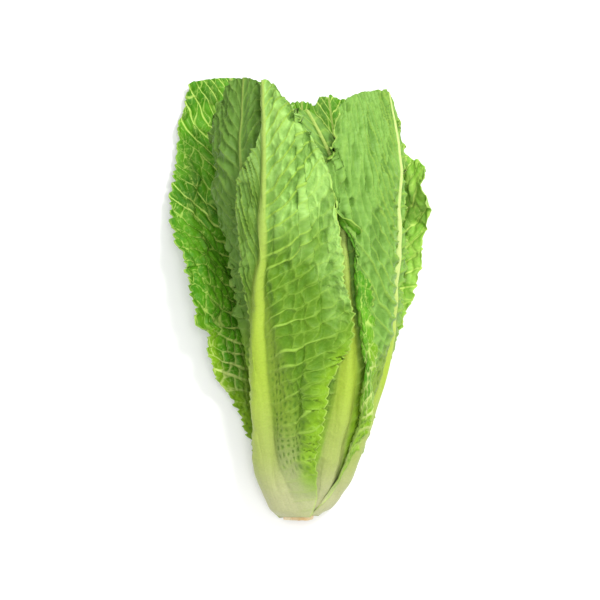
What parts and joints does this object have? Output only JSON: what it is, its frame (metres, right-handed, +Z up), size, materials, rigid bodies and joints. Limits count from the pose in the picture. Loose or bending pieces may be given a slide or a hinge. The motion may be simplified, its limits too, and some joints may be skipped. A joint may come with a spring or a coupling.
{
  "type": "romaine lettuce head",
  "caption": "Long head of romaine lettuce lying on its side: thick pale midribs join at a cut stem, and crinkled green leaves overlap around a pale heart.",
  "frame": {"origin": "middle of the footprint, on the surface that the head lies on", "axes": "+Y along the head, from the cut stem to the leaf tips; +Z up, through the front leaf's blade; +X across it"},
  "size_m": [0.174, 0.3, 0.1063],
  "materials": {
    "leaf": "semi-matt, waxy green leaf with pale ribs and veins",
    "heart_leaf": "semi-matt, pale yellow-green leaf",
    "stem": "matt, cream stem, browned a little at the cut"
  },
  "bodies": {
    "root": {"stem": "stem", "heart_leaf_01": "heart_leaf", "heart_leaf_02": "heart_leaf", "heart_leaf_03": "heart_leaf", "heart_leaf_04": "heart_leaf", "heart_leaf_05": "heart_leaf", "heart_leaf_06": "heart_leaf", "heart_leaf_07": "heart_leaf", "heart_leaf_08": "heart_leaf", "heart_leaf_09": "heart_leaf", "heart_leaf_10": "heart_leaf", "heart_leaf_11": "heart_leaf", "heart_leaf_12": "heart_leaf", "inner_back_leaf": "leaf", "inner_right_leaf": "leaf", "inner_front_leaf": "leaf", "inner_left_leaf": "leaf", "rear_right_leaf": "leaf", "left_leaf": "leaf", "front_right_leaf": "leaf", "rear_leaf": "leaf", "right_leaf": "leaf", "front_leaf": "leaf", "right_wing_leaf": "leaf", "left_wing_leaf": "leaf"}
  },
  "joints": []
}
